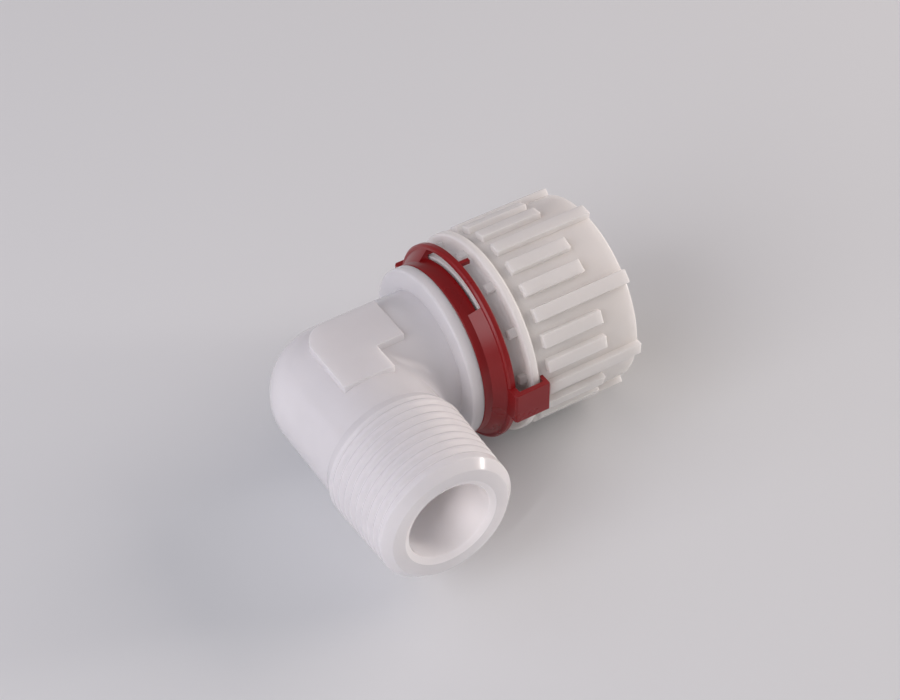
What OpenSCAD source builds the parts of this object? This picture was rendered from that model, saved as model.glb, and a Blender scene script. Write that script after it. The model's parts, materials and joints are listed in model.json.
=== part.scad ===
// Flared-tube male elbow: a moulded body with a tapered pipe thread on one leg and a
// screw for the tube nut on the other, the tube nut itself, and a snap-in locking ring.
// The origin is the centre of the pipe thread's end face. +X points out of that end,
// +Y along the tube leg, and +Z out of the flat pad.

/* [Elbow body] */
// Outside diameter of the two plain legs
leg_d = 25.4; // [24:0.1:26.4]
// Elbow centre to the end face of the pipe thread
port_len = 37.6; // [36:0.1:60]
// Elbow centre to the front of the collar
collar_pos = 17.9; // [16:0.1:40]
// Thickness of the collar
collar_t = 2.4; // [1.2:0.1:6]
// Bore of the tube leg
bore_d = 15.9; // [10:0.1:17]
// Bore of the threaded leg where it meets its mouth
port_bore_d = 17.8; // [16:0.1:19.4]
// Flare of the mouth, on the radius
mouth_flare = 0.28; // [0.1:0.01:0.8]
// Depth of the flared mouth
mouth_depth = 1.2; // [0.5:0.1:3]

/* [Pipe thread] */
// Crest diameter at the large end
pipe_d = 27.3; // [26.9:0.1:29]
// Pitch of the pipe thread
pipe_pitch = 1.814; // [1.4:0.001:2.4]
// Length from the end face to the large end
pipe_len = 18; // [12:0.1:19]
// Depth of the thread groove
pipe_depth = 0.55; // [0.4:0.05:1.2]
// Width of the groove at the crest
pipe_gap = 1.15; // [0.8:0.05:1.3]
// Chamfer at the threaded end
end_chamfer = 1.55; // [0.8:0.05:2]
// Length of the slope from the plain leg up to the thread
pipe_rise = 2.4; // [1:0.1:4]

/* [Flat pad] */
// Half the width of each arm of the pad
pad_half = 5.1; // [3:0.1:7]
// Length of the arm along the threaded leg
pad_port = 11.1; // [7.5:0.1:15]
// Length of the arm along the tube leg
pad_tube = 10.6; // [7.5:0.1:15]
// Height of the pad above the crown of the legs
pad_proud = 0.5; // [0.3:0.1:2]

/* [Tube nut screw] */
// Crest diameter of the body's screw
screw_d = 30.5; // [30:0.1:31.2]
// Pitch of the screw
screw_pitch = 3; // [2.6:0.1:3.4]
// Depth of the screw's grooves
screw_depth = 1.3; // [0.9:0.05:1.5]
// Length of the screwed part of the body
screw_len = 12.4; // [10:0.1:14]
// Radial gap between the two screws
screw_gap = 0.3; // [0.2:0.05:0.4]
// Gap between the flanks of the two screws, along the axis
flank_gap = 0.28; // [0.2:0.01:0.4]

/* [Flare nose] */
// Outside diameter of the tube that the nut takes
tube_d = 19.05; // [17:0.05:19.6]
// Wall of that tube
tube_wall = 1.6; // [1:0.05:1.8]
// Diameter of the nose that the flared tube slides over
nose_d = 22.6; // [20:0.1:22.8]
// Length of the straight part of the nose
nose_len = 3.5; // [2:0.1:5]
// Length of the tapered part of the nose
nose_taper = 4; // [3:0.1:5]
// Wall left at the tip of the nose
tip_wall = 0.7; // [0.5:0.05:1]
// Radial room round the tube in the nut
tube_clear = 0.125; // [0.05:0.005:0.3]

/* [Locking ring] */
// Wall of the band that sits on the neck
band_wall = 1.05; // [0.8:0.05:1.2]
// Height of the band along the axis
band_h = 3.7; // [3:0.1:6]
// Outside diameter of the spring beam
beam_d = 38.1; // [37.9:0.1:40]
// Thickness of the spring beam
beam_t = 0.84; // [0.6:0.02:0.9]
// Width of the beam along the axis
beam_h = 1.37; // [1:0.01:2]
// Chamfer along the beam's front edge
beam_edge = 0.35; // [0.2:0.05:0.5]
// Angle of each slot between band and beam
slot_angle = 60; // [40:1:90]
// Drop of the band's back edge inside the slots
slot_sill = 0.3; // [0.1:0.05:0.6]
// Rise of the ramp that ties the band to the beam
ramp_rise = 2.15; // [1:0.05:3]
// Radial gap between the band and the neck
slide_clear = 0.1; // [0.05:0.01:0.2]
// Width of each key on the neck
key_w = 3; // [2:0.1:5]
// Height of each key above the neck
key_h = 0.55; // [0.3:0.05:0.65]
// Gap round each key
key_gap = 0.12; // [0.05:0.01:0.3]
// Width of the click tooth
tooth_w = 0.8; // [0.5:0.05:3]
// Reach of the click tooth behind the beam
tooth_reach = 1.95; // [1:0.05:2.8]
// Width of each hook
hook_w = 6.6; // [4:0.1:9]
// Thickness of each hook
hook_t = 1.05; // [0.7:0.05:1.6]
// Gap between the hook's end and what it reaches behind
hook_gap = 0.25; // [0.2:0.01:0.4]
// Radial room between the bead and the hook
hook_room = 0.45; // [0.3:0.05:0.8]
// Height of the hook's end behind the bead
hook_end = 0.9; // [0.7:0.05:1.6]

/* [Tube nut] */
// Length of the nut
nut_len = 28.2; // [27:0.1:40]
// Diameter of the barrel
barrel_d = 36.5; // [35.6:0.1:36.6]
// Diameter over the bead that the hooks hold
bead_d = 39; // [38.2:0.1:39.4]
// Width of the bead
bead_w = 1.5; // [1.2:0.1:2]
// Diameter of the front collar that carries the ratchet blocks
front_d = 33.8; // [33.4:0.1:34]
// Length of that front collar
front_len = 4.4; // [4.2:0.1:6]
// Number of ribs round the nut
rib_count = 24; // [12:12:36]
// Every rib of this order runs to the end of the nut
long_every = 3; // [2:1:6]
// Diameter over the ribs
rib_d = 39; // [37.5:0.1:41]
// Width of a rib
rib_w = 2.6; // [1.5:0.1:3]
// Start of the ribs, from the nut's front
rib_start = 8.2; // [7.9:0.1:10]
// Length of the short ribs
rib_short = 12.6; // [8:0.1:18]
// Turn of the rib pattern from the pad's side
rib_turn = 1.2; // [0:0.1:15]
// Number of ratchet blocks
block_count = 12; // [6:1:16]
// Width of a ratchet block
block_w = 1.75; // [1:0.05:3]
// Length of a ratchet block
block_len = 1.6; // [1:0.1:2.4]
// Turn of the blocks from the pad's side
block_turn = 20.5; // [0:0.5:30]

/* [Hidden] */
$fn = 96;

// Straight outline radii
leg_r = leg_d / 2;
bore_r = bore_d / 2;
port_bore_r = port_bore_d / 2;
mouth_r = port_bore_r + mouth_flare;

// Pipe thread: one in sixteen on the diameter
pipe_taper = 1 / 32;
pipe_start = port_len - pipe_len;
pipe_large_r = pipe_d / 2;
pipe_small_r = pipe_large_r - pipe_taper * (pipe_len - end_chamfer);
pipe_segments = 36;
// The groove stops short of both ends, and fades out over its last part of a turn
groove_from = pipe_start - 0.9;
groove_to = port_len - end_chamfer - 0.8;
groove_foot = 0.3;
groove_over = 0.4;

// Screw of the tube leg
screw_r = screw_d / 2;
core_r = screw_r - screw_depth;
screw_segments = 36;
screw_crest_w = 0.85;
screw_root_w = 1.75;
screw_sink = 0.25;
nut_wall_r = screw_r + screw_gap;
nut_crest_r = core_r + screw_gap;

// Stack along the tube leg, from the elbow centre
neck_clear = 0.2;
neck_r = screw_r + neck_clear;
band_in_r = neck_r + slide_clear;
band_r = band_in_r + band_wall;
ring_pos = collar_pos + collar_t;
neck_len = band_h + 0.1;
key_len = neck_len - 0.4;
nut_pos = ring_pos + band_h + neck_clear;
screw_pos = ring_pos + neck_len + 1.4;
core_end = screw_pos + screw_len;
nose_pos = core_end + 0.5;
taper_pos = nose_pos + nose_len;
tip_pos = taper_pos + nose_taper;
nose_r = nose_d / 2;
tip_r = bore_r + tip_wall;

// Locking ring, from its front face
beam_r = beam_d / 2;
beam_in_r = beam_r - beam_t;
front_r = front_d / 2;
lip_r = front_r + 0.3;
ramp_top = band_h + 0.06;
ramp_foot = ramp_top - ramp_rise;
ramp_r = beam_in_r - 0.06;
web_top = band_h + 0.1;
slot_r = band_r - 0.06;
beam_end = ramp_top + beam_h;
key_angles = [45, 135];
bead_r = bead_d / 2;
barrel_r = barrel_d / 2;
hook_in_x = max(bead_r, beam_r) + hook_room;
hook_out_x = hook_in_x + hook_t;
hook_edge = 0.38;
barb_t = 0.6;
bead_back = nut_pos - ring_pos + front_len + bead_w;
hook_catch = bead_back + hook_gap;
hook_stop = hook_catch + hook_end;
barb_x = barrel_r + hook_gap;
block_r = front_r + 1;
tooth_in_r = block_r + 0.15;
tooth_out_r = beam_r - 0.15;

// Nut, from its front face
cavity_r = nose_r + tube_wall + 0.3;
socket_r = tube_d / 2 + tube_clear;
cavity_pos = nose_pos - nut_pos + 0.3;
seat_pos = taper_pos - nut_pos + 0.9;
seat_taper = 4.2;
seat_end = seat_pos + seat_taper;
socket_chamfer = 0.6;
end_edge = 0.4;
bead_root = 0.6;
bead_edge = 0.45;
back_edge = 0.15;
rib_r = rib_d / 2;
rib_slope = 0.2;
rib_runout = 0.25;

// Points of an arc that rounds a corner of a section
function arc(centre, radius, from, to, steps = 4) =
    [for (i = [0:steps]) let (a = from + (to - from) * i / steps)
        centre + radius * [cos(a), sin(a)]];

// Turns the local +Z axis onto the tube leg's axis at the elbow centre
module along_tube(distance = 0) {
    translate([-port_len, distance, 0]) rotate([-90, 0, 0]) children();
}

// Turns the local +Z axis onto the threaded leg's axis at the elbow centre
module along_port() {
    translate([-port_len, 0, 0]) rotate([0, 90, 0]) children();
}

// One closed helical bar, right-handed, swept from a four-sided section. radii holds the
// root and the crest radius, widths the same for the widths, and both ends fade to the root.
module helix_bar(radii, widths, pitch, from, to, segments, taper = 0, fade = 0.25) {
    steps = floor((to - from) / pitch * segments);
    fade_steps = max(1, round(fade * segments));
    sections = [for (i = [0:steps])
        let (
            angle = 360 * i / segments,
            z = from + pitch * i / segments,
            part = min(1, (i + 0.15) / fade_steps, (steps - i + 0.15) / fade_steps),
            shift = -taper * (z - from),
            root = radii[0] + shift,
            crest = radii[0] + (radii[1] - radii[0]) * part + shift,
            half_root = widths[0] / 2,
            half_crest = (widths[0] + (widths[1] - widths[0]) * part) / 2
        )
        for (p = [[root, -half_root], [crest, -half_crest], [crest, half_crest], [root, half_root]])
            [p[0] * cos(angle), p[0] * sin(angle), z + p[1]]];
    turn = radii[1] > radii[0] ? 1 : -1;
    sides = [for (i = [0:steps - 1]) for (k = [0:3])
        let (a = 4 * i + k, b = 4 * i + (k + 1) % 4, c = a + 4, d = b + 4)
        each turn > 0 ? [[a, b, d], [a, d, c]] : [[a, d, b], [a, c, d]]];
    last = 4 * steps;
    caps = turn > 0
        ? [[3, 2, 1, 0], [last, last + 1, last + 2, last + 3]]
        : [[0, 1, 2, 3], [last + 3, last + 2, last + 1, last]];
    polyhedron(points = sections, faces = concat(sides, caps), convexity = 10);
}

// Quarter of a ball that rounds the outside of the corner, r its radius
module corner_ball(r) {
    translate([-port_len, 0, 0]) rotate([0, 0, 180])
        rotate_extrude(angle = 90) intersection() {
            circle(r);
            translate([0, -r]) square([r, 2 * r]);
        }
}

module port_leg_outside() {
    along_port() difference() {
        rotate_extrude() polygon([
            [0, 0], [leg_r, 0], [leg_r, pipe_start - pipe_rise],
            [pipe_large_r, pipe_start], [pipe_small_r, port_len - end_chamfer],
            [pipe_small_r - end_chamfer, port_len], [0, port_len]
        ]);
        helix_bar(
            radii = [pipe_large_r + groove_over, pipe_large_r - pipe_depth],
            widths = [pipe_gap + 0.35, groove_foot], pitch = pipe_pitch,
            from = groove_from, to = groove_to, segments = pipe_segments, taper = pipe_taper
        );
    }
}

module tube_leg_outside() {
    along_tube() {
        rotate_extrude() polygon([
            [0, 0], [leg_r, 0], [leg_r, collar_pos], [band_r, collar_pos],
            [band_r, ring_pos], [neck_r, ring_pos], [neck_r, ring_pos + neck_len],
            [core_r, ring_pos + neck_len], [core_r, core_end], [core_r - 0.5, nose_pos],
            [nose_r, nose_pos], [nose_r, taper_pos], [tip_r, tip_pos], [0, tip_pos]
        ]);
        helix_bar(
            radii = [core_r - screw_sink, screw_r], widths = [screw_root_w + 0.2, screw_crest_w],
            pitch = screw_pitch, from = screw_pos, to = core_end - screw_root_w,
            segments = screw_segments
        );
        for (angle = key_angles) rotate(angle)
            translate([core_r, -key_w / 2, ring_pos])
                cube([neck_r + key_h - core_r, key_w, key_len]);
    }
}

module pad() {
    top = leg_r + pad_proud;
    bottom = (leg_r + bore_r) / 2 - 1;
    translate([-port_len, 0, bottom]) linear_extrude(top - bottom) {
        circle(pad_half);
        translate([0, -pad_half]) square([pad_port, 2 * pad_half]);
        translate([-pad_half, 0]) square([2 * pad_half, pad_tube]);
    }
}

module waterway() {
    along_port() {
        cylinder(h = port_len - mouth_depth, r1 = bore_r, r2 = port_bore_r);
        translate([0, 0, port_len - mouth_depth])
            cylinder(h = mouth_depth, r1 = port_bore_r, r2 = mouth_r);
    }
    along_tube() cylinder(h = tip_pos, r = bore_r);
    corner_ball(bore_r);
}

module elbow_body() {
    color("gainsboro") difference() {
        union() {
            port_leg_outside();
            tube_leg_outside();
            corner_ball(leg_r);
            pad();
        }
        waterway();
    }
}

// The ring's section between its slots: the ramp from the band up to the beam
module ring_section() {
    polygon([
        [band_in_r, 0], [band_r, 0], [band_r, ramp_foot], [ramp_r, ramp_top],
        [beam_r - beam_edge, ramp_top], [beam_r, ramp_top + beam_edge],
        [beam_r, beam_end], [lip_r, beam_end], [lip_r, web_top], [band_in_r, web_top]
    ]);
}

// What a slot takes away, leaving the band and the spring beam
module slot_section() {
    sill = band_h - slot_sill;
    polygon([
        [slot_r, ramp_foot], [beam_r + 1, ramp_foot], [beam_r + 1, ramp_top], [beam_in_r, ramp_top],
        [beam_in_r, beam_end + 1], [band_in_r - 1, beam_end + 1], [band_in_r - 1, sill],
        [slot_r, sill]
    ]);
}

// One hook, reaching over the nut's bead
module hook() {
    translate([0, hook_w / 2, 0]) rotate([90, 0, 0]) linear_extrude(hook_w) polygon([
        [lip_r + 0.5, ramp_top], [hook_out_x - hook_edge, ramp_top],
        [hook_out_x, ramp_top + hook_edge], [hook_out_x, hook_stop], [barb_x, hook_stop],
        [barb_x, hook_stop - barb_t], [hook_in_x, hook_catch], [hook_in_x, beam_end],
        [lip_r + 0.5, beam_end]
    ]);
}

// The tooth that clicks past the nut's blocks
module click_tooth() {
    translate([tooth_in_r, -tooth_w / 2, beam_end - beam_h / 2])
        cube([tooth_out_r - tooth_in_r, tooth_w, beam_h / 2 + tooth_reach]);
}

module locking_ring() {
    color("firebrick") along_tube(ring_pos) {
        difference() {
            union() {
                rotate_extrude() ring_section();
                for (side = [0, 180]) rotate(side) hook();
            }
            for (side = [0, 180]) rotate(side - 90 - slot_angle / 2)
                rotate_extrude(angle = slot_angle) slot_section();
            for (angle = key_angles) rotate(angle)
                translate([core_r, -key_w / 2 - key_gap, -1])
                    cube([neck_r + key_h + key_gap - core_r, key_w + 2 * key_gap, beam_end + 2]);
        }
        for (side = [0, 180]) rotate(side - 90) click_tooth();
    }
}

// One rib, lying along +X, with a slope at each end that stops short
module rib(length, runs_out) {
    foot = barrel_r - 0.6;
    end = rib_start + length;
    translate([0, rib_w / 2, 0]) rotate([90, 0, 0]) linear_extrude(rib_w) polygon([
        [foot, rib_start], [barrel_r, rib_start], [rib_r, rib_start + rib_slope],
        [rib_r, runs_out ? end - rib_runout : end], [runs_out ? barrel_r : rib_r, end],
        [foot, end]
    ]);
}

module nut_shell() {
    bead_end = front_len + bead_w;
    rotate_extrude() polygon(concat(
        [[nut_wall_r, 0], [front_r, 0]],
        arc([front_r + bead_root, front_len - bead_root], bead_root, 180, 90),
        arc([bead_r - bead_edge, front_len + bead_edge], bead_edge, -90, 0),
        [
            [bead_r, bead_end - back_edge], [bead_r - back_edge, bead_end],
            [barrel_r, bead_end], [barrel_r, nut_len - end_edge],
            [barrel_r - end_edge, nut_len], [socket_r + socket_chamfer, nut_len],
            [socket_r, nut_len - socket_chamfer], [socket_r, seat_end],
            [cavity_r, seat_pos], [cavity_r, cavity_pos], [nut_wall_r, cavity_pos]
        ]
    ));
}

module tube_nut() {
    color("whitesmoke", 0.8) along_tube(nut_pos) {
        nut_shell();
        helix_bar(
            radii = [nut_wall_r + screw_sink, nut_crest_r],
            widths = [screw_pitch - screw_crest_w - 2 * flank_gap + 0.3,
                screw_pitch - screw_root_w - 2 * flank_gap + 0.2],
            pitch = screw_pitch, from = screw_pos + screw_pitch / 2 - nut_pos,
            to = cavity_pos - screw_pitch / 2, segments = screw_segments
        );
        for (i = [0:rib_count - 1])
            rotate(360 / rib_count * i + rib_turn - 90)
                rib(i % long_every == 0 ? nut_len - rib_start : rib_short, i % long_every != 0);
        for (i = [0:block_count - 1])
            rotate(360 / block_count * i + block_turn - 90)
                translate([front_r - 0.5, -block_w / 2, front_len - block_len])
                    cube([block_r - front_r + 0.5, block_w, block_len + 0.2]);
    }
}

elbow_body();
locking_ring();
tube_nut();
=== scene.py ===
"""Looks of the flared-tube male elbow: a moulded elbow body, its red locking ring and the
translucent tube nut. Shapes are worked out in millimetres from the elbow's centre, with
+X along the threaded leg, +Y along the tube leg and +Z out of the flat pad, and are put
into the row frame in metres at the end."""

import json
import math

import bmesh
import bpy
import numpy as np
from mathutils import Matrix, Vector


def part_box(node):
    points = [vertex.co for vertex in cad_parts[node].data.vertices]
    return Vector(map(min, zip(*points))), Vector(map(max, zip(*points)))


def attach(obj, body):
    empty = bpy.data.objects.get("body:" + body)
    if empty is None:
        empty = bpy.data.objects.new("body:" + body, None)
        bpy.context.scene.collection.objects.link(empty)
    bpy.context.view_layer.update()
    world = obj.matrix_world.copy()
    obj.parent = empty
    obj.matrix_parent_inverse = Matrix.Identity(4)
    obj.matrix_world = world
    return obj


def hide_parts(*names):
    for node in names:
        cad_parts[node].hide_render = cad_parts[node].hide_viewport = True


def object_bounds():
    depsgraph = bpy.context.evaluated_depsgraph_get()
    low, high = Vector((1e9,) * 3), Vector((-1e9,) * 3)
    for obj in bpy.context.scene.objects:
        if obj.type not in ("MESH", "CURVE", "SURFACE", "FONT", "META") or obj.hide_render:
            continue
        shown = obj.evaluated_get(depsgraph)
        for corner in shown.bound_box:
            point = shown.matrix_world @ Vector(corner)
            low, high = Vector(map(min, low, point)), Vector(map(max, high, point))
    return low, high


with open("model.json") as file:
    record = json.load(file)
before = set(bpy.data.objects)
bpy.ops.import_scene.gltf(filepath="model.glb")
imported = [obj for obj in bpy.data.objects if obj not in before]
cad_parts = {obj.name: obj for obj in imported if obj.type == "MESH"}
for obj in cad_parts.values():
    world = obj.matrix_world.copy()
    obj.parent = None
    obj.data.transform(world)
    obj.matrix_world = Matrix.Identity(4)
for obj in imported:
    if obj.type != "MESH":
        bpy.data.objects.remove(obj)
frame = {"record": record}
cad_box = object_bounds()
mounts = {mount["name"]: mount for mount in frame["record"]["mounts"]}

MM, MICRON = 1e-3, 1e-6
ELBOW_CENTRE = Vector((mounts["tube_socket"]["pos_m"][0], 0, 0))
TO_ROW = Matrix.Translation(ELBOW_CENTRE) @ Matrix.Scale(MM, 4)

# Each turns local +Z onto a leg's axis. Local angles count from -Z on the threaded leg
# and from +X on the tube leg, and both run the right-handed way round the axis.
PORT_AXIS = Matrix(((0, 0, 1, 0), (0, 1, 0, 0), (-1, 0, 0, 0), (0, 0, 0, 1)))
TUBE_AXIS = Matrix(((1, 0, 0, 0), (0, 0, 1, 0), (0, -1, 0, 0), (0, 0, 0, 1)))

# Stations along the legs, from the elbow's centre
PORT_LENGTH = -ELBOW_CENTRE.x / MM
TIP_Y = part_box("elbow_body")[1].y / MM
RING_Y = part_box("locking_ring")[0].y / MM
NUT_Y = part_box("tube_nut")[0].y / MM
NUT_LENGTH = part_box("tube_nut")[1].y / MM - NUT_Y

# Elbow body
LEG_R, BORE_R, BORE_ROOM = 12.7, 7.95, 0.15
CROTCH_FILLET, BORE_FILLET = 4.5, 0.8
BORE_SEAM_END = 12.0
COLLAR_R, COLLAR_T = 16.6, 2.4
NECK_R, NECK_LENGTH, NECK_RELIEF = 15.45, 3.8, 1.4
NOSE_R, NOSE_LENGTH, TIP_R = 11.3, 3.5, 8.65
KEY_WIDTH, KEY_HEIGHT, KEY_LENGTH = 3.0, 0.55, 3.4
KEY_ROOT, KEY_SINK, KEY_EDGE, KEY_GAP = 0.6, 0.5, 0.12, 0.12
KEY_ANGLES = (45, 135)

# Screw between elbow and nut
SCREW_PITCH, SCREW_LENGTH = 3.0, 12.4
SCREW_CORE_R, SCREW_CREST_R = 13.95, 15.25
SCREW_START = RING_Y + NECK_LENGTH + NECK_RELIEF
SCREW_FOOT, SCREW_TOP, SCREW_FADE = 0.7, 1.8, 0.75
SCREW_RUNOUT, SCREW_UNDERCUT = 1.75, 0.5
NUT_WALL_R, NUT_CREST_R = 15.55, 14.25
NUT_SCREW_FOOT, NUT_SCREW_TOP = 0.75, 1.75

# Tapered pipe thread, its end chamfer and the mouth's flare
PIPE_LARGE_R, PIPE_LENGTH, PIPE_RISE = 13.65, 18.0, 2.4
PIPE_TAPER, PIPE_PITCH = 1 / 32, 1.814
GROOVE_DEPTH, GROOVE_TOP, GROOVE_FOOT = 0.42, 1.55, 0.0
GROOVE_LEAD, GROOVE_STOP, GROOVE_FADE = 0.9, 0.8, 0.5
END_CHAMFER = 1.55
MOUTH_R, MOUTH_DEPTH, PORT_BORE_R = 9.18, 0.6, 8.05

# Flat pad, with its foot inside the elbow's wall
PAD_TOP, PAD_FOOT = LEG_R + 0.5, (LEG_R + BORE_R) / 2 - 1
PAD_HALF, PAD_PORT_ARM, PAD_TUBE_ARM = 5.1, 11.1, 10.6
PAD_EDGE, PAD_ARC_STEP = 0.16, 6

# Locking ring, from its front face
BAND_IN_R, BAND_T, BAND_H = 15.55, 1.05, 3.7
BEAM_R, BEAM_T, BEAM_H, BEAM_EDGE = 19.05, 0.84, 1.37, 0.35
RAMP_RISE, RAMP_TOP = 2.15, BAND_H + 0.06
BEAM_END = RAMP_TOP + BEAM_H
LIP_R = 17.2
SLOT_ANGLE, SLOT_SILL = 60, 0.3
RING_STEP = 1.5
HOOK_WIDTH, HOOK_T, HOOK_EDGE = 6.6, 1.05, 0.38
HOOK_GAP, HOOK_ROOM, HOOK_END, BARB_T = 0.25, 0.45, 0.9, 0.6
HOOK_ROOT_R, HOOK_ROUND = LIP_R + 0.5, 0.12
TOOTH_WIDTH, TOOTH_REACH, TOOTH_GAP, TOOTH_ROUND = 0.8, 1.95, 0.15, 0.08

# Tube nut, from its front face
FRONT_R, FRONT_LENGTH = 16.9, 4.4
BEAD_R, BEAD_WIDTH = 19.5, 1.5
BEAD_ROOT, BEAD_EDGE, BACK_EDGE, END_EDGE = 0.6, 0.45, 0.15, 0.4
BARREL_R = 18.25
CAVITY_R, CAVITY_START = 13.2, 14.5
SEAT_START, SEAT_END = 18.6, 22.8
SOCKET_R, SOCKET_CHAMFER = mounts["tube_socket"]["dims"]["r_mm"], 0.6
RIB_COUNT, LONG_EVERY, RIB_TURN = 24, 3, 1.2
RIB_R, RIB_WIDTH, RIB_START, RIB_SHORT = 19.5, 2.6, 8.2, 12.6
RIB_EDGE, RIB_SINK = 0.2, 0.6
BLOCK_COUNT, BLOCK_TURN = 12, 20.5
BLOCK_WIDTH, BLOCK_LENGTH, BLOCK_R = 1.75, 1.6, 17.9
BLOCK_EDGE, BLOCK_SINK, BLOCK_BACK = 0.15, 0.5, 0.2

# How finely the skins are divided, and how close two places on them are one
COLUMNS, LUNE_ROWS, OUTER_SEAM_ROWS, INNER_SEAM_ROWS = 192, 24, 30, 14
ROW_SPREAD = 1.4
GROOVE_STEP, SCREW_STEP = 0.105, 0.2
NUT_COLUMNS, NUT_STEP, NUT_SCREW_STEP = 240, 1.2, 0.22
NUT_SEAM = 6.0
HALVINGS = 48
MERGE, SLIVER, TOUCH, ROUNDOFF = 1e-4, 1e-5, 0.01, 1e-9
CORNER_SHARE, LEAST_SUPPORT = 0.45, 0.02

# How far off a given radius or height a point may lie and still go with it
NEAR = 0.2

# Camera, from the photograph's view
IMAGE_WIDTH, SENSOR_WIDTH = 900, 36.0
FOCAL_PIXELS = 2553.7
CAMERA_AZIMUTH, CAMERA_ELEVATION, CAMERA_ROLL = 58.29, 44.15, -0.50
CAMERA_DISTANCE = 0.4588
CAMERA_AIM = Vector((-0.0315, 0.0195, 0.0053))

# Beam of the lamp for the threaded leg's mouth, whose place is the frame's origin
SNOOT_AWAY, SNOOT_DISTANCE = Vector((0.47, -0.67, 0.574)), 0.5
SNOOT_ANGLE, SNOOT_R = 1.2, 0.004


# Mesh building

def link(name, data):
    """A new object in the scene that holds a mesh, a lamp or a camera."""
    piece = bpy.data.objects.new(name, data)
    bpy.context.scene.collection.objects.link(piece)
    return piece


def shell(name, points, faces):
    """A closed mesh from points and faces, with doubles merged and faces pointing outwards."""
    mesh = bpy.data.meshes.new(name)
    mesh.from_pydata([tuple(p) for p in points], [], faces)
    bm = bmesh.new()
    bm.from_mesh(mesh)
    bmesh.ops.remove_doubles(bm, verts=bm.verts, dist=MERGE)
    bmesh.ops.dissolve_degenerate(bm, edges=bm.edges, dist=SLIVER)
    loose = [v for v in bm.verts if not v.link_faces]
    bmesh.ops.delete(bm, geom=loose, context="VERTS")
    bmesh.ops.recalc_face_normals(bm, faces=bm.faces)
    bm.to_mesh(mesh)
    bm.free()
    return link(name, mesh)


def settle(piece):
    """What the piece's modifiers make becomes its own mesh, and the modifiers go."""
    depsgraph = bpy.context.evaluated_depsgraph_get()
    mesh = bpy.data.meshes.new_from_object(piece.evaluated_get(depsgraph))
    piece.modifiers.clear()
    piece.data = mesh
    return piece


def combine(piece, others, operation="UNION"):
    """Joins closed solids to the piece, or cuts them out of it, and removes them."""
    for other in others:
        cut = piece.modifiers.new("combine", "BOOLEAN")
        cut.operation = operation
        cut.solver = "EXACT"
        cut.object = other
    settle(piece)
    for other in others:
        bpy.data.objects.remove(other)
    return piece


def rounded(corners, steps=4, support=0.12):
    """An open outline through corners given as (radius, height) or (radius, height, edge
    radius). Each rounded corner becomes an arc with a supporting point on both sides."""
    outline = []
    last = len(corners) - 1
    for i, corner in enumerate(corners):
        here = np.array(corner[:2], float)
        edge = corner[2] if len(corner) > 2 else 0
        if not edge or i in (0, last):
            outline.append(tuple(here))
            continue
        before = np.array(corners[i - 1][:2], float) - here
        after = np.array(corners[i + 1][:2], float) - here
        room = CORNER_SHARE * min(np.linalg.norm(before), np.linalg.norm(after))
        before, after = before / np.linalg.norm(before), after / np.linalg.norm(after)
        half = math.acos(np.clip(before @ after, -1, 1)) / 2
        reach = min(edge / math.tan(half), room)
        radius = reach * math.tan(half)
        inwards = (before + after) / np.linalg.norm(before + after)
        middle = here + inwards * radius / math.sin(half)
        start, end = here + before * reach - middle, here + after * reach - middle
        sweep = math.pi - 2 * half
        extra = min(support, room - reach)
        if extra > LEAST_SUPPORT:
            outline.append(tuple(here + before * (reach + extra)))
        for k in range(steps + 1):
            share = k / steps
            arm = math.sin((1 - share) * sweep) * start + math.sin(share * sweep) * end
            outline.append(tuple(middle + arm / math.sin(sweep)))
        if extra > LEAST_SUPPORT:
            outline.append(tuple(here + after * (reach + extra)))
    return outline


def divided(outline, longest, low=-math.inf, high=math.inf):
    """The outline with edges between heights low and high cut into steps up to longest."""
    points = [outline[0]]
    for a, b in zip(outline, outline[1:]):
        inside = min(a[1], b[1]) >= low - TOUCH and max(a[1], b[1]) <= high + TOUCH
        steps = max(1, math.ceil(math.dist(a, b) / longest)) if inside else 1
        way = np.array(b) - a
        points += [tuple(np.array(a) + way * k / steps) for k in range(1, steps + 1)]
    return points


def grid_faces(rows, columns, first=0, wrap=True):
    """Quads of a grid whose points are numbered row by row from first."""
    across = columns if wrap else columns - 1
    return [
        (
            first + i * columns + j,
            first + i * columns + (j + 1) % columns,
            first + (i + 1) * columns + (j + 1) % columns,
            first + (i + 1) * columns + j,
        )
        for i in range(rows - 1)
        for j in range(across)
    ]


def lathe(name, outline, columns):
    """A closed outline of (radius, height) turned about Z."""
    turn = np.linspace(0, 2 * math.pi, columns, endpoint=False)
    closed = list(outline) + [outline[0]]
    points = [(r * math.cos(a), r * math.sin(a), z) for r, z in closed for a in turn]
    return shell(name, points, grid_faces(len(closed), columns))


def drawn_out(corners, along):
    """A closed solid as a bmesh: the flat face through corners, drawn out along a vector."""
    bm = bmesh.new()
    face = bm.faces.new([bm.verts.new(corner) for corner in corners])
    grown = bmesh.ops.extrude_face_region(bm, geom=[face])
    moved = [v for v in grown["geom"] if isinstance(v, bmesh.types.BMVert)]
    bmesh.ops.translate(bm, verts=moved, vec=along)
    bmesh.ops.recalc_face_normals(bm, faces=bm.faces)
    return bm


def link_solid(name, bm):
    """A new object in the scene from a bmesh, which is freed."""
    mesh = bpy.data.meshes.new(name)
    bm.to_mesh(mesh)
    bm.free()
    return link(name, mesh)


def prism(name, outline, width, edge, turn=0):
    """An outline of (x, z) drawn out along Y, width wide and centred, with rounded edges,
    and then turned about Z by an angle in degrees."""
    bm = drawn_out([(x, -width / 2, z) for x, z in outline], (0, width, 0))
    if edge:
        bmesh.ops.bevel(
            bm, geom=bm.edges[:], offset=edge, offset_type="OFFSET", segments=3, profile=0.5,
            affect="EDGES", clamp_overlap=True,
        )
    piece = link_solid(name, bm)
    piece.data.transform(Matrix.Rotation(math.radians(turn), 4, "Z"))
    return piece


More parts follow.
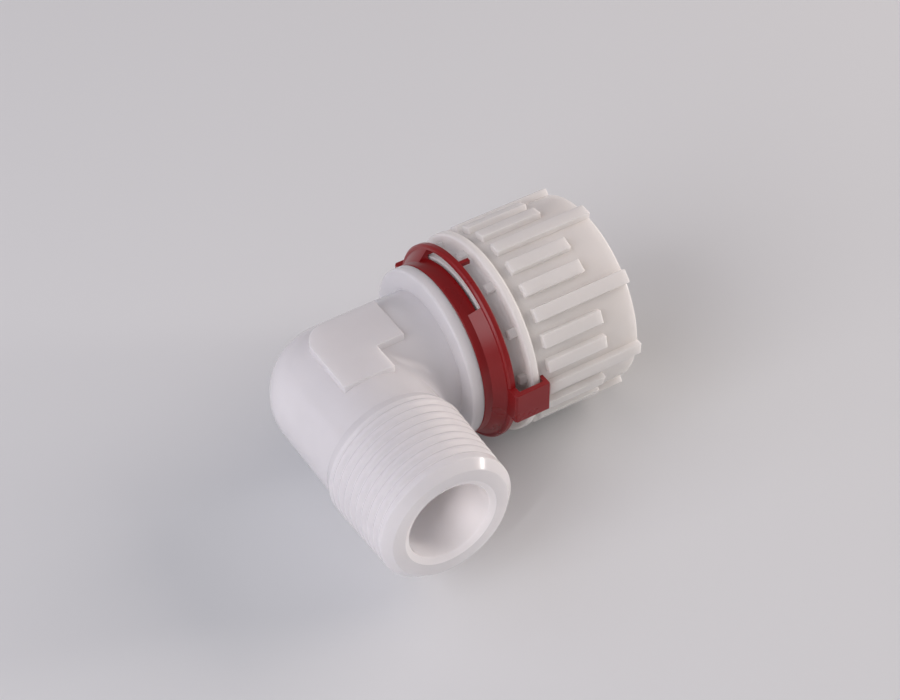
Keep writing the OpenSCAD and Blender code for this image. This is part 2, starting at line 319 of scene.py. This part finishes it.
def finish_piece(piece, node, body, material, sharp_angle=32):
    """Puts a finished piece into the row frame, smooth but for its sharp edges. Normals
    follow the larger faces, so that flat faces stay flat beside rounded edges."""
    piece.data.transform(TO_ROW)
    piece.data.materials.clear()
    piece.data.materials.append(material)
    bm = bmesh.new()
    bm.from_mesh(piece.data)
    for face in bm.faces:
        face.smooth = True
        face.material_index = 0
    for edge in bm.edges:
        edge.smooth = edge.calc_face_angle(0) < math.radians(sharp_angle)
    bm.to_mesh(piece.data)
    bm.free()
    piece.modifiers.new("weighted_normal", "WEIGHTED_NORMAL").keep_sharp = True
    settle(piece)
    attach(piece, body)
    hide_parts(node)
    return piece


# Node trees

def add(tree, kind, inputs=None, **settings):
    """Adds a node to a tree. settings are the node's own, and inputs gives each socket its
    value or the output that it takes."""
    node = tree.nodes.new(kind)
    for name, value in settings.items():
        setattr(node, name, value)
    for socket, value in (inputs or {}).items():
        if isinstance(value, bpy.types.Node):
            value = value.outputs[0]
        if isinstance(value, bpy.types.NodeSocket):
            tree.links.new(value, node.inputs[socket])
        else:
            node.inputs[socket].default_value = value
    return node


def geometry_tree(name, sizes):
    """An empty Geometry Nodes tree with a named input for each size, and its input node."""
    tree = bpy.data.node_groups.new(name, "GeometryNodeTree")
    tree.interface.new_socket("Geometry", in_out="INPUT", socket_type="NodeSocketGeometry")
    for label, kind in sizes.items():
        tree.interface.new_socket(label, in_out="INPUT", socket_type=kind)
    tree.interface.new_socket("Geometry", in_out="OUTPUT", socket_type="NodeSocketGeometry")
    return tree, tree.nodes.new("NodeGroupInput")


def end_tree(tree, given, geometry):
    """Ends a tree in real geometry that carries its material."""
    real = add(tree, "GeometryNodeRealizeInstances", {0: geometry})
    material = given.outputs["Material"]
    painted = add(tree, "GeometryNodeSetMaterial", {"Geometry": real, "Material": material})
    add(tree, "NodeGroupOutput", {0: painted})
    return tree


def run_tree(piece, tree, **sizes):
    """Runs a tree on the piece with its inputs set by name, and keeps the result."""
    modifier = piece.modifiers.new(tree.name, "NODES")
    modifier.node_group = tree
    for item in tree.interface.items_tree:
        if item.in_out == "INPUT" and item.name in sizes:
            modifier[item.identifier] = sizes[item.name]
    return settle(piece)


def thread_tree():
    """A helix that is cut into, or stands out of, a turned surface about Z. Depth moves the
    surface outwards, Foot and Top are the helix's width at full depth and at the surface,
    and the helix fades in and out over the length Fade."""
    tree, given = geometry_tree(
        "Helical thread",
        {
            "Pitch": "NodeSocketFloat", "Depth": "NodeSocketFloat", "Foot": "NodeSocketFloat",
            "Top": "NodeSocketFloat", "From": "NodeSocketFloat", "To": "NodeSocketFloat",
            "Fade": "NodeSocketFloat", "Least": "NodeSocketFloat", "Most": "NodeSocketFloat",
            "Material": "NodeSocketMaterial",
        },
    )
    size = given.outputs
    maths, vectors, ramp = "ShaderNodeMath", "ShaderNodeVectorMath", "ShaderNodeMapRange"
    place = add(tree, "GeometryNodeInputPosition")
    x, y, z = add(tree, "ShaderNodeSeparateXYZ", {0: place}).outputs

    # How far each point lies, along the axis, from the middle of the nearest turn
    angle = add(tree, maths, {0: y, 1: x}, operation="ARCTAN2")
    share = add(tree, maths, {0: angle, 1: 2 * math.pi}, operation="DIVIDE")
    along = add(tree, maths, {0: z, 1: size["From"]}, operation="SUBTRACT")
    pitches = add(tree, maths, {0: along, 1: size["Pitch"]}, operation="DIVIDE")
    turns = add(tree, maths, {0: pitches, 1: share}, operation="SUBTRACT")
    nearest = add(tree, maths, {0: turns}, operation="ROUND")
    missed = add(tree, maths, {0: turns, 1: nearest}, operation="SUBTRACT")
    off = add(tree, maths, {0: missed, 1: size["Pitch"]}, operation="MULTIPLY")
    centre = add(tree, maths, {0: z, 1: off}, operation="SUBTRACT")

    # The helix's section, and its fading at both ends
    reach = add(tree, maths, {0: off}, operation="ABSOLUTE")
    foot = add(tree, maths, {0: size["Foot"], 1: 2}, operation="DIVIDE")
    top = add(tree, maths, {0: size["Top"], 1: 2}, operation="DIVIDE")
    risen = add(tree, maths, {0: size["From"], 1: size["Fade"]}, operation="ADD")
    falling = add(tree, maths, {0: size["To"], 1: size["Fade"]}, operation="SUBTRACT")
    smooth = {"interpolation_type": "SMOOTHSTEP"}
    factors = [
        add(tree, ramp, {0: reach, 1: foot, 2: top, 3: 1, 4: 0}, **smooth),
        add(tree, ramp, {0: centre, 1: size["From"], 2: risen, 3: 0, 4: 1}, **smooth),
        add(tree, ramp, {0: centre, 1: falling, 2: size["To"], 3: 1, 4: 0}, **smooth),
    ]

    # Only points between the radii Least and Most move, straight outwards
    flat = add(tree, "ShaderNodeCombineXYZ", {0: x, 1: y})
    radius = add(tree, vectors, {0: flat}, operation="LENGTH").outputs["Value"]
    factors.append(add(tree, maths, {0: radius, 1: size["Least"]}, operation="GREATER_THAN"))
    factors.append(add(tree, maths, {0: radius, 1: size["Most"]}, operation="LESS_THAN"))
    move = size["Depth"]
    for factor in factors:
        move = add(tree, maths, {0: move, 1: factor}, operation="MULTIPLY")
    outwards = add(tree, vectors, {0: flat}, operation="NORMALIZE")
    offset = add(tree, vectors, {0: outwards, "Scale": move}, operation="SCALE")
    moved = add(tree, "GeometryNodeSetPosition", {0: size["Geometry"], "Offset": offset})
    return end_tree(tree, given, moved)


def copies_tree():
    """Copies of the piece's own mesh round Z. With Every above 1, only each such place is
    filled, or all the others where Others is on."""
    tree, given = geometry_tree(
        "Copies round the axis",
        {
            "Count": "NodeSocketInt", "Turn": "NodeSocketFloat", "Every": "NodeSocketInt",
            "Others": "NodeSocketBool", "Material": "NodeSocketMaterial",
        },
    )
    size = given.outputs
    places = add(tree, "GeometryNodePoints", {"Count": size["Count"]})
    index = add(tree, "GeometryNodeInputIndex")
    maths, turn = "ShaderNodeMath", size["Turn"]
    step = add(tree, maths, {0: 2 * math.pi, 1: size["Count"]}, operation="DIVIDE")
    angle = add(tree, maths, {0: index, 1: step, 2: turn}, operation="MULTIPLY_ADD")
    spin = add(tree, "ShaderNodeCombineXYZ", {2: angle})
    place = add(tree, maths, {0: index, 1: size["Every"]}, operation="MODULO")
    first = add(tree, maths, {0: place, 1: 0.5}, operation="LESS_THAN")
    chosen = add(tree, "FunctionNodeBooleanMath", {0: first, 1: size["Others"]}, operation="XOR")
    copies = add(
        tree, "GeometryNodeInstanceOnPoints",
        {"Points": places, "Selection": chosen, "Instance": size["Geometry"], "Rotation": spin},
    )
    return end_tree(tree, given, copies)


# Materials

# Nearly all of a cloud noise's values lie in this range
CLOUD_RANGE = 0.3, 0.7


def linear(colour):
    """Linear RGBA of an sRGB hex colour."""
    channels = [int(colour[i : i + 2], 16) / 255 for i in (1, 3, 5)]
    rgb = [c / 12.92 if c <= 0.04045 else ((c + 0.055) / 1.055) ** 2.4 for c in channels]
    return rgb + [1]


def plastic(name, dull, bright, cloud_mm, ripple_mm, ripple_um, gloss, fixed, bore=None):
    """A moulded plastic: clouds between two colours, a faint ripple from the mould, and a
    gloss that wanders between two roughnesses. fixed gives the shader's uniform sockets, and
    bore a paler colour that is painted where the attribute bore is 1: painted light, not a
    colour that the plastic has."""
    material = bpy.data.materials.new(name)
    material.use_nodes = True
    tree = material.node_tree
    tree.nodes.clear()
    place = add(tree, "ShaderNodeTexCoord").outputs["Object"]
    noise, blend, rgba = "ShaderNodeTexNoise", "ShaderNodeMix", {"data_type": "RGBA"}
    clouds = add(tree, noise, {0: place, "Scale": 1 / (cloud_mm * MM), "Detail": 3.0})
    cloud = clouds.outputs["Fac"]
    colour = add(tree, blend, {0: cloud, 6: linear(dull), 7: linear(bright)}, **rgba)
    # Painted light: where the attribute bore is 1, a paler colour stands in for light inside the
    # waterway
    if bore:
        inside = add(tree, "ShaderNodeAttribute", attribute_name="bore").outputs["Fac"]
        outer = colour.outputs[2]
        colour = add(tree, blend, {0: inside, 6: outer, 7: linear(bore)}, **rgba)
    ripple = add(tree, noise, {0: place, "Scale": 1 / (ripple_mm * MM), "Detail": 2.0})
    low, high = CLOUD_RANGE
    wander = add(
        tree, "ShaderNodeMapRange", {0: cloud, 1: low, 2: high, 3: gloss[0], 4: gloss[1]}
    )
    bump = add(
        tree, "ShaderNodeBump",
        {"Strength": 1.0, "Distance": ripple_um * MICRON, "Height": ripple.outputs["Fac"]},
    )
    shader = add(
        tree, "ShaderNodeBsdfPrincipled",
        {"Base Color": colour.outputs[2], "Roughness": wander, "Normal": bump, **fixed},
    )
    add(tree, "ShaderNodeOutputMaterial", {"Surface": shader})
    return material


def moulded_white_pfa():
    """Injection-moulded PFA, pigment free but thick: milky and waxy, with a soft gloss. The
    waterway's skin is painted a paler colour: painted light, in place of the light that would
    come through the walls and fill it."""
    return plastic(
        "moulded_white_pfa", dull="#dad8da", bright="#e3e1e3", cloud_mm=9.0, ripple_mm=2.2,
        # The bore colour is painted light, paler than the plastic, for the waterway's skin
        ripple_um=3, gloss=(0.14, 0.20), bore="#f6f2f3",
        fixed={
            "IOR": 1.35, "Subsurface Weight": 0.6, "Subsurface Radius": (1.0, 0.95, 0.9),
            "Subsurface Scale": 14.0 * MM, "Specular IOR Level": 0.5,
        },
    )


def natural_translucent_pfa():
    """Injection-moulded natural PFA in thin walls: light spreads inside them, so that ribs
    and edges glow softly, under a soft gloss."""
    return plastic(
        "natural_translucent_pfa", dull="#dedbd8", bright="#e5e2df", cloud_mm=7.0,
        ripple_mm=1.8, ripple_um=3, gloss=(0.20, 0.26),
        fixed={
            "IOR": 1.35, "Subsurface Weight": 0.7, "Subsurface Radius": (1.0, 0.97, 0.94),
            "Subsurface Scale": 6.0 * MM, "Specular IOR Level": 0.5,
        },
    )


def red_moulded_pvdf():
    """Injection-moulded PVDF with red pigment: deep and opaque to the eye, with a satin
    gloss."""
    return plastic(
        "red_moulded_pvdf", dull="#801014", bright="#8e161a", cloud_mm=6.0, ripple_mm=2.0,
        ripple_um=2, gloss=(0.26, 0.34), fixed={"IOR": 1.46, "Specular IOR Level": 0.5},
    )


# Elbow body

def rounded_union(x, y, z, radius, fillet):
    """Zero on the two legs' cylinders joined with a fillet, which a ball of radius fillet
    would leave as it rolls down the valley between them, and positive outside."""
    port = np.hypot(y, z) - radius
    tube = np.hypot(x, z) - radius
    between = np.arccos(np.clip((z / radius) ** 2, 0, 1))
    ball = fillet * (1 - np.cos(between / 2)) / (1 - math.sqrt(0.5))
    near = np.hypot(np.maximum(ball - port, 0), np.maximum(ball - tube, 0))
    return np.maximum(ball, np.minimum(port, tube)) - near


def skin_radius(stations, inwards, upwards, radius, fillet, on_seam=False):
    """Radius of the joined skin at stations along a leg, found by halving the room between
    0.9 and 2 times radius. inwards and upwards are the cosine and sine of the angle from
    the other leg's side."""
    low = np.full(np.broadcast(stations, inwards).shape, 0.9 * radius)
    high = np.full(low.shape, 2 * radius)
    for _ in range(HALVINGS):
        middle = (low + high) / 2
        across, up = middle * inwards, middle * upwards
        along = across if on_seam else stations
        outside = rounded_union(along, across, up, radius, fillet) > 0
        high = np.where(outside, middle, high)
        low = np.where(outside, low, middle)
    return (low + high) / 2


def seam_rows(radius, fillet, end, rows):
    """Rows of (station, inwards, upwards) from the plane where the legs meet up to the
    station end, on a leg that follows the joined skin."""
    angle = np.linspace(0, 2 * math.pi, COLUMNS, endpoint=False)
    inwards, upwards = np.cos(angle), np.sin(angle)
    inner = inwards > ROUNDOFF
    seam = skin_radius(0.0, inwards, upwards, radius, fillet, on_seam=True)
    start = np.where(inner, seam * inwards, 0)
    grid = []
    for i in range(rows):
        share = (i / (rows - 1)) ** ROW_SPREAD
        stations = start + (end - start) * share
        reach = seam if i == 0 else skin_radius(stations, inwards, upwards, radius, fillet)
        reach = np.where(inner, reach, radius)
        grid.append(np.stack([stations, reach * inwards, reach * upwards], axis=1))
    return grid


def leg_rows(outline, bore_station):
    """Rows of one whole leg: the outer skin from the seam, the turned outline over the end
    and into the bore, and the bore's skin back to the seam."""
    angle = np.linspace(0, 2 * math.pi, COLUMNS, endpoint=False)
    outer = seam_rows(LEG_R, CROTCH_FILLET, outline[0][1], OUTER_SEAM_ROWS)
    turned = [
        np.stack([np.full(COLUMNS, z), r * np.cos(angle), r * np.sin(angle)], axis=1)
        for r, z in outline[1:-1]
    ]
    inner = seam_rows(BORE_R, BORE_FILLET, bore_station, INNER_SEAM_ROWS)
    return outer + turned + inner[::-1]


def corner_rows(radius):
    """Rows of a ball's quarter that rounds the corner, from the threaded leg's side."""
    lift = np.linspace(-math.pi / 2, math.pi / 2, COLUMNS // 2 + 1)
    flat, up = radius * np.cos(lift), radius * np.sin(lift)
    turns = [math.pi / 2 * i / LUNE_ROWS for i in range(LUNE_ROWS + 1)]
    return [
        np.stack([-flat * math.sin(turn), -flat * math.cos(turn), up], axis=1) for turn in turns
    ]


def port_outline():
    """The threaded leg from its plain part to its bore, as (radius, station)."""
    rise = PORT_LENGTH - PIPE_LENGTH - PIPE_RISE
    chamfer = PORT_LENGTH - END_CHAMFER
    small = PIPE_LARGE_R - PIPE_TAPER * (PIPE_LENGTH - END_CHAMFER)
    outside = rounded(
        [
            (LEG_R, rise - NEAR), (LEG_R, rise, 0.6), (PIPE_LARGE_R, rise + PIPE_RISE, 1.2),
            (small, chamfer, 0.35), (small - END_CHAMFER, PORT_LENGTH, 0.22),
            (MOUTH_R, PORT_LENGTH, 0.12), (PORT_BORE_R, PORT_LENGTH - MOUTH_DEPTH, 0.3),
            (BORE_R, BORE_SEAM_END),
        ]
    )
    return divided(outside, GROOVE_STEP, rise, chamfer + 0.3)


def tube_outline():
    """The tube leg from its plain part over collar, neck, screw and nose to its bore."""
    collar, neck_end = RING_Y - COLLAR_T, RING_Y + NECK_LENGTH
    core_end = SCREW_START + SCREW_LENGTH
    nose = core_end + SCREW_UNDERCUT
    outside = rounded(
        [
            (LEG_R, collar - 2 * NEAR), (LEG_R, collar, 0.35), (COLLAR_R, collar, 0.45),
            (COLLAR_R, RING_Y, 0.25), (NECK_R, RING_Y, 0.12), (NECK_R, neck_end, 0.2),
            (SCREW_CORE_R, neck_end, 0.2), (SCREW_CORE_R, core_end, 0.15),
            (SCREW_CORE_R - SCREW_UNDERCUT, nose, 0.1), (NOSE_R, nose, 0.2),
            (NOSE_R, nose + NOSE_LENGTH, 0.6), (TIP_R, TIP_Y, 0.25), (BORE_R, TIP_Y, 0.2),
            (BORE_R, BORE_SEAM_END),
        ]
    )
    return divided(outside, SCREW_STEP, neck_end + NEAR, core_end)


def pad():
    """The flat pad: two arms and a round corner, with softened edges."""
    arc = [math.radians(a) for a in range(180, 270 + 1, PAD_ARC_STEP)]
    outline = [(PAD_HALF * math.cos(a), PAD_HALF * math.sin(a)) for a in arc]
    outline += [
        (PAD_PORT_ARM, -PAD_HALF), (PAD_PORT_ARM, PAD_HALF), (PAD_HALF, PAD_HALF),
        (PAD_HALF, PAD_TUBE_ARM), (-PAD_HALF, PAD_TUBE_ARM),
    ]
    bm = drawn_out([(x, y, PAD_FOOT) for x, y in outline], (0, 0, PAD_TOP - PAD_FOOT))
    rim = [e for e in bm.edges if all(v.co.z > PAD_TOP - TOUCH for v in e.verts)]
    bmesh.ops.bevel(bm, geom=rim, offset=PAD_EDGE, segments=3, profile=0.5, affect="EDGES")
    return link_solid("pad", bm)


def neck_key(angle):
    """One of the two keys on the neck that stop the locking ring from turning."""
    inner, outer = SCREW_CORE_R + KEY_ROOT, NECK_R + KEY_HEIGHT
    start, end = RING_Y - KEY_SINK, RING_Y + KEY_LENGTH
    outline = [(inner, start), (outer, start), (outer, end), (inner, end)]
    key = prism("key", outline, KEY_WIDTH, KEY_EDGE, angle)
    key.data.transform(TUBE_AXIS)
    return key


def mark_bore_painted_light(body):
    """Sets the attribute bore to 1 on the waterway's skin, within its radius of the axes: the
    mask where the material paints a paler colour as painted light.
    """
    spot = np.array([v.co for v in body.data.vertices])
    behind = np.minimum(spot, 0)
    port = np.linalg.norm(np.stack([behind[:, 0], spot[:, 1], spot[:, 2]]), axis=0)
    tube = np.linalg.norm(np.stack([spot[:, 0], behind[:, 1], spot[:, 2]]), axis=0)
    inside = (port < MOUTH_R) | (tube < BORE_R + BORE_ROOM)
    bore = body.data.attributes.new("bore", "FLOAT", "POINT")
    bore.data.foreach_set("value", inside.astype(np.float32))


def elbow_body(material):
    """The elbow: one skin, closed from the outside through both ends into the waterway, with
    both threads, the pad and the neck's keys."""
    points, faces = [], []

    def add_grid(rows, wrap=True):
        first = len(points)
        points.extend(p for row in rows for p in row)
        faces.extend(grid_faces(len(rows), len(rows[0]), first, wrap))

    port = leg_rows(port_outline(), BORE_SEAM_END)
    tube = leg_rows(tube_outline(), BORE_SEAM_END)
    add_grid(port)
    add_grid([row[:, [1, 0, 2]] for row in tube])
    add_grid(corner_rows(LEG_R), wrap=False)
    add_grid(corner_rows(BORE_R), wrap=False)
    body = shell("elbow_skin", points, faces)
    threads = thread_tree()
    body.data.transform(PORT_AXIS.inverted())
    run_tree(
        body, threads, Pitch=PIPE_PITCH, Depth=-GROOVE_DEPTH, Foot=GROOVE_FOOT, Top=GROOVE_TOP,
        From=PORT_LENGTH - PIPE_LENGTH - GROOVE_LEAD, To=PORT_LENGTH - END_CHAMFER - GROOVE_STOP,
        Fade=GROOVE_FADE, Least=LEG_R, Most=PIPE_LARGE_R + 1, Material=material,
    )
    body.data.transform(TUBE_AXIS.inverted() @ PORT_AXIS)
    run_tree(
        body, threads, Pitch=SCREW_PITCH, Depth=SCREW_CREST_R - SCREW_CORE_R, Foot=SCREW_FOOT,
        Top=SCREW_TOP, From=SCREW_START, To=SCREW_START + SCREW_LENGTH - SCREW_RUNOUT,
        Fade=SCREW_FADE, Least=SCREW_CORE_R - NEAR, Most=SCREW_CORE_R + NEAR, Material=material,
    )
    body.data.transform(TUBE_AXIS)
    combine(body, [pad()] + [neck_key(angle) for angle in KEY_ANGLES])
    # Marks where the waterway's skin gets its painted light
    mark_bore_painted_light(body)
    return finish_piece(body, "elbow_body", "elbow", material)


# Locking ring

def ring_skin():
    """Band, ramp, lip and spring beam, with the slots between band and beam left open."""
    band_r = BAND_IN_R + BAND_T
    sill = BAND_H - SLOT_SILL
    foot = (band_r, RAMP_TOP - RAMP_RISE)
    beam_low, beam_back = (BEAM_R - BEAM_T, RAMP_TOP), (BEAM_R - BEAM_T, BEAM_END)
    front = rounded([(BAND_IN_R, sill), (BAND_IN_R, 0, 0.12), (band_r, 0, 0.25), foot])
    beam = rounded([
        beam_low, (BEAM_R - BEAM_EDGE, RAMP_TOP, 0.1), (BEAM_R, RAMP_TOP + BEAM_EDGE, 0.1),
        (BEAM_R, BEAM_END, 0.2), beam_back,
    ])
    lip = [(LIP_R, BEAM_END), (LIP_R, BAND_H), (BAND_IN_R, BAND_H)]
    band = front + [(band_r, sill)]
    whole = front + beam + lip
    cap = [foot, beam_low, beam_back] + lip + [front[0], (band_r, sill)]
    numbers = {p: i for i, p in enumerate(dict.fromkeys(whole + band))}
    columns = round(360 / RING_STEP)
    points = [
        (r * math.cos(a), r * math.sin(a), z)
        for a in np.linspace(0, 2 * math.pi, columns, endpoint=False)
        for r, z in numbers
    ]
    half = round(SLOT_ANGLE / RING_STEP / 2)
    middles = [round(90 / RING_STEP), round(270 / RING_STEP)]
    slotted = [any(-half <= j - m < half for m in middles) for j in range(columns)]
    faces = []
    for j in range(columns):
        here, there = j * len(numbers), (j + 1) % columns * len(numbers)
        for outline in ([band, beam] if slotted[j] else [whole]):
            for p, q in zip(outline, outline[1:] + outline[:1]):
                a, b = numbers[p], numbers[q]
                faces.append((here + a, here + b, there + b, there + a))
        if slotted[j] != slotted[j - 1]:
            faces.append([here + numbers[p] for p in cap])
    return shell("ring_skin", points, faces)


def hook(side):
    """A hook that reaches from the beam over the nut's flange and catches behind it."""
    inner = BEAD_R + HOOK_ROOM
    outer = inner + HOOK_T
    catch = NUT_Y - RING_Y + FRONT_LENGTH + BEAD_WIDTH + HOOK_GAP
    stop = catch + HOOK_END
    barb = BARREL_R + HOOK_GAP
    outline = [
        (HOOK_ROOT_R, RAMP_TOP), (outer - HOOK_EDGE, RAMP_TOP), (outer, RAMP_TOP + HOOK_EDGE),
        (outer, stop), (barb, stop), (barb, stop - BARB_T), (inner, catch), (inner, BEAM_END),
        (HOOK_ROOT_R, BEAM_END - 0.1),
    ]
    return prism("hook", outline, HOOK_WIDTH, HOOK_ROUND, side)


def click_tooth(side):
    """The tooth that clicks past the nut's blocks."""
    inner, outer = BLOCK_R + TOOTH_GAP, BEAM_R - TOOTH_GAP
    low, high = BEAM_END - BEAM_H / 2, BEAM_END + TOOTH_REACH
    outline = [(inner, low), (outer, low), (outer, high), (inner, high)]
    return prism("click_tooth", outline, TOOTH_WIDTH, TOOTH_ROUND, side)


def keyway(angle):
    """The way for a neck key, cut through the band from the inside."""
    inner, outer = BAND_IN_R - 1, NECK_R + KEY_HEIGHT + KEY_GAP
    outline = [(inner, -1), (outer, -1), (outer, BAND_H + 3), (inner, BAND_H + 3)]
    return prism("keyway", outline, KEY_WIDTH + 2 * KEY_GAP, 0, angle)


def locking_ring(material):
    """The ring: band and beam, keyways, and a hook and a tooth on each side."""
    ring = ring_skin()
    combine(ring, [keyway(angle) for angle in KEY_ANGLES], "DIFFERENCE")
    hooks = [hook(side) for side in (0, 180)]
    combine(ring, hooks + [click_tooth(side) for side in (-90, 90)])
    ring.data.transform(Matrix.Translation((0, RING_Y, 0)) @ TUBE_AXIS)
    return finish_piece(ring, "locking_ring", "ring", material)


# Tube nut

def nut_outline():
    """The nut's closed section: outside from the front, then back through the inside."""
    bead_back = FRONT_LENGTH + BEAD_WIDTH
    outline = rounded(
        [
            (NUT_WALL_R, NUT_SEAM), (NUT_WALL_R, 0, 0.1), (FRONT_R, 0, 0.12),
            (FRONT_R, FRONT_LENGTH, BEAD_ROOT), (BEAD_R, FRONT_LENGTH, BEAD_EDGE),
            (BEAD_R, bead_back, BACK_EDGE), (BARREL_R, bead_back, BACK_EDGE),
            (BARREL_R, NUT_LENGTH, END_EDGE), (SOCKET_R + SOCKET_CHAMFER, NUT_LENGTH, 0.2),
            (SOCKET_R, NUT_LENGTH - SOCKET_CHAMFER, 0.2), (SOCKET_R, SEAT_END, 0.4),
            (CAVITY_R, SEAT_START, 0.5), (CAVITY_R, CAVITY_START, 0.2),
            (NUT_WALL_R, CAVITY_START, 0.2), (NUT_WALL_R, NUT_SEAM + NEAR),
        ]
    )
    outline = divided(outline, NUT_STEP, bead_back + 0.8, NUT_LENGTH)
    return divided(outline, NUT_SCREW_STEP, NEAR, CAVITY_START - 0.3)


def rib(long):
    """One round-edged grip rib along +X, to the nut's end or short of it."""
    foot = BARREL_R - RIB_SINK
    end = NUT_LENGTH - TOUCH if long else RIB_START + RIB_SHORT
    outline = [(foot, RIB_START), (RIB_R, RIB_START), (RIB_R, end), (foot, end)]
    return prism("rib", outline, RIB_WIDTH, RIB_EDGE)


def ratchet_block():
    """One block on the front collar along +X, whose back end is inside the flange."""
    inner = FRONT_R - BLOCK_SINK
    start, end = FRONT_LENGTH - BLOCK_LENGTH, FRONT_LENGTH + BLOCK_BACK
    outline = [(inner, start), (BLOCK_R, start), (BLOCK_R, end), (inner, end)]
    return prism("ratchet_block", outline, BLOCK_WIDTH, BLOCK_EDGE)


def tube_nut(material):
    """The nut: its turned shell with the inner screw, the grip ribs and the blocks. The
    screw's turns lie midway between those of the elbow's screw."""
    nut = lathe("nut_shell", nut_outline(), NUT_COLUMNS)
    threads = bpy.data.node_groups["Helical thread"]
    half_turn = SCREW_PITCH / 2
    run_tree(
        nut, threads, Pitch=SCREW_PITCH, Depth=NUT_CREST_R - NUT_WALL_R, Foot=NUT_SCREW_FOOT,
        Top=NUT_SCREW_TOP, From=SCREW_START + half_turn - NUT_Y, To=CAVITY_START - half_turn,
        Fade=SCREW_FADE, Least=NUT_WALL_R - NEAR, Most=NUT_WALL_R + NEAR, Material=material,
    )
    copies = copies_tree()
    rib_turn, block_turn = math.radians(RIB_TURN - 90), math.radians(BLOCK_TURN - 90)
    grip = [
        run_tree(
            rib(long), copies, Count=RIB_COUNT, Turn=rib_turn, Every=LONG_EVERY,
            Others=not long, Material=material,
        )
        for long in (True, False)
    ]
    blocks = run_tree(
        ratchet_block(), copies, Count=BLOCK_COUNT, Turn=block_turn, Every=1, Others=False,
        Material=material,
    )
    combine(nut, grip + [blocks])
    nut.data.transform(Matrix.Translation((0, NUT_Y, 0)) @ TUBE_AXIS)
    return finish_piece(nut, "tube_nut", "nut", material)


# Studio

def floor():
    """A plain pale floor under the lowest point."""
    half, level = 3.0, cad_box[0][2]
    mesh = bpy.data.meshes.new("studio_floor")
    signs = ((-1, -1), (1, -1), (1, 1), (-1, 1))
    corners = [(half * x, half * y, level) for x, y in signs]
    mesh.from_pydata(corners, [], [(0, 1, 2, 3)])
    piece = link("studio_floor", mesh)
    material = bpy.data.materials.new("studio_floor_paper")
    material.use_nodes = True
    shader = material.node_tree.nodes["Principled BSDF"]
    shader.inputs["Base Color"].default_value = linear("#e0e3e5")
    shader.inputs["Roughness"].default_value = 0.9
    mesh.materials.append(material)


def direction(azimuth, elevation):
    """A unit vector. Azimuth counts from -Y towards +X, and both are in degrees."""
    turn, lift = math.radians(azimuth), math.radians(elevation)
    flat = math.cos(lift)
    return Vector((math.sin(turn) * flat, -math.cos(turn) * flat, math.sin(lift)))


def lamp(name, kind, watts, colour, away, place):
    """A lamp at place that shines against the direction away, and its settings."""
    light = bpy.data.lights.new(name, kind)
    light.energy = watts
    light.color = linear(colour)[:3]
    piece = link(name, light)
    piece.location = place
    piece.rotation_euler = away.to_track_quat("Z", "Y").to_euler()
    return light


def softbox(name, azimuth, elevation, distance, size, watts, colour):
    """A broad lamp that looks at the object. Its distance and size are in metres."""
    away = direction(azimuth, elevation)
    light = lamp(name, "AREA", watts, colour, away, CAMERA_AIM + away * distance)
    light.shape = "RECTANGLE"
    light.size, light.size_y = size


def snoot():
    """A lamp whose thin soft-edged beam goes only into the threaded leg's mouth."""
    place = SNOOT_AWAY * SNOOT_DISTANCE
    light = lamp("mouth_snoot", "SPOT", 5.4, "#fff6f8", SNOOT_AWAY, place)
    light.spot_size = math.radians(SNOOT_ANGLE)
    light.spot_blend = 1.0
    light.shadow_soft_size = SNOOT_R


def studio_light():
    """Cool lamps on the left, a broad one high and a long low one, a broad one in front of
    the mouth, a broad warm one behind the right side and a small low one that draws glints
    there, the mouth's own thin beam, and an even pale surround."""
    softbox("left_softbox", -25, 48, 0.9, (0.8, 0.7), 1.4, "#f1edff")
    softbox("low_softbox", -10, 8, 0.9, (1.0, 0.25), 0.9, "#efeaff")
    softbox("front_softbox", 16, 32, 0.9, (0.7, 0.6), 3.9, "#fdf8fb")
    softbox("right_softbox", 172, 27, 0.9, (0.8, 0.6), 4.5, "#fff0ea")
    softbox("low_strip", 156, 7, 0.8, (0.1, 0.08), 1.3, "#fffaf5")
    snoot()
    world = bpy.data.worlds.new("studio_surround")
    world.use_nodes = True
    background = world.node_tree.nodes["Background"]
    background.inputs["Color"].default_value = linear("#f4f0f1")
    background.inputs["Strength"].default_value = 0.24
    bpy.context.scene.world = world


def camera():
    """The photograph's view: its angle, distance and lens."""
    lens = bpy.data.cameras.new("photo_view")
    lens.sensor_fit = "HORIZONTAL"
    lens.sensor_width = SENSOR_WIDTH
    lens.lens = FOCAL_PIXELS * SENSOR_WIDTH / IMAGE_WIDTH
    lens.clip_start = 0.01
    turn, roll = math.radians(CAMERA_AZIMUTH), math.radians(CAMERA_ROLL)
    back = direction(CAMERA_AZIMUTH, CAMERA_ELEVATION)
    right = Vector((math.cos(turn), math.sin(turn), 0))
    up = back.cross(right)
    across = right * math.cos(roll) + up * math.sin(roll)
    upright = up * math.cos(roll) - right * math.sin(roll)
    facing = Matrix((across, upright, back)).transposed().to_4x4()
    view = link("photo_view", lens)
    view.matrix_world = Matrix.Translation(CAMERA_AIM + back * CAMERA_DISTANCE) @ facing
    bpy.context.scene.camera = view


bpy.context.scene.view_settings.view_transform = "Standard"
camera()
studio_light()
floor()
elbow_body(moulded_white_pfa())
locking_ring(red_moulded_pvdf())
tube_nut(natural_translucent_pfa())
